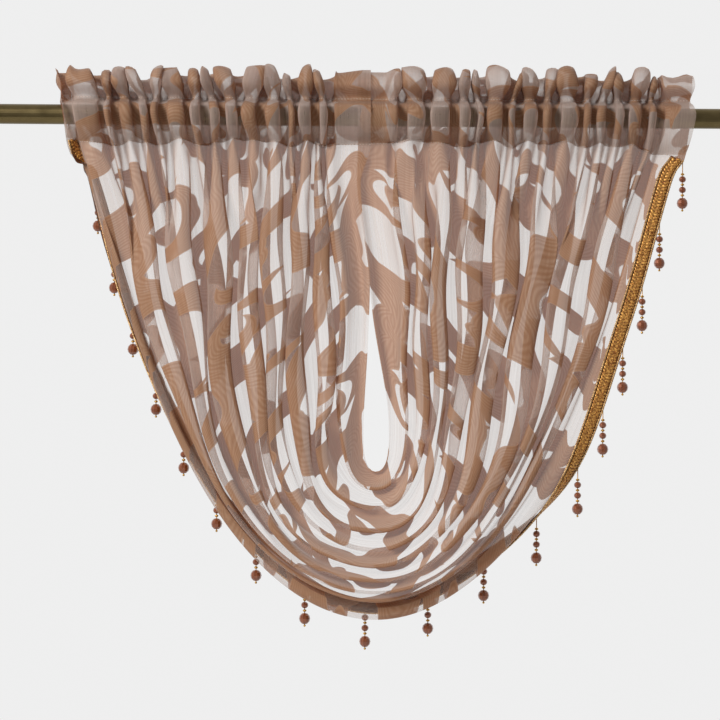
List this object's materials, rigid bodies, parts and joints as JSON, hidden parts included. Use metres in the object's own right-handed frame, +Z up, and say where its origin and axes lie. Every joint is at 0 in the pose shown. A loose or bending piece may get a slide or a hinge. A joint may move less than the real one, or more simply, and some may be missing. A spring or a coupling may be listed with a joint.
{
  "type": "waterfall valance with curtain rod",
  "caption": "Sheer swag valance gathered on a round rod by a casing, hanging in nested U folds with a beaded braid on its hem.",
  "frame": {"origin": "on the rod's axis, above the lowest point of the swag", "axes": "+X along the rod, +Y towards the window or wall, +Z up"},
  "size_m": [0.86, 0.1075, 0.6361],
  "materials": {
    "voile": "sheer organza ground with satin scroll motifs in rose beige",
    "gold_braid": "woven metallic gold braid with copper brown faceted beads",
    "bronze_rod": "antique bronze, satin"
  },
  "bodies": {
    "root": {"valance_cloth": "voile", "beaded_braid": "gold_braid", "curtain_rod": "bronze_rod"}
  },
  "joints": []
}
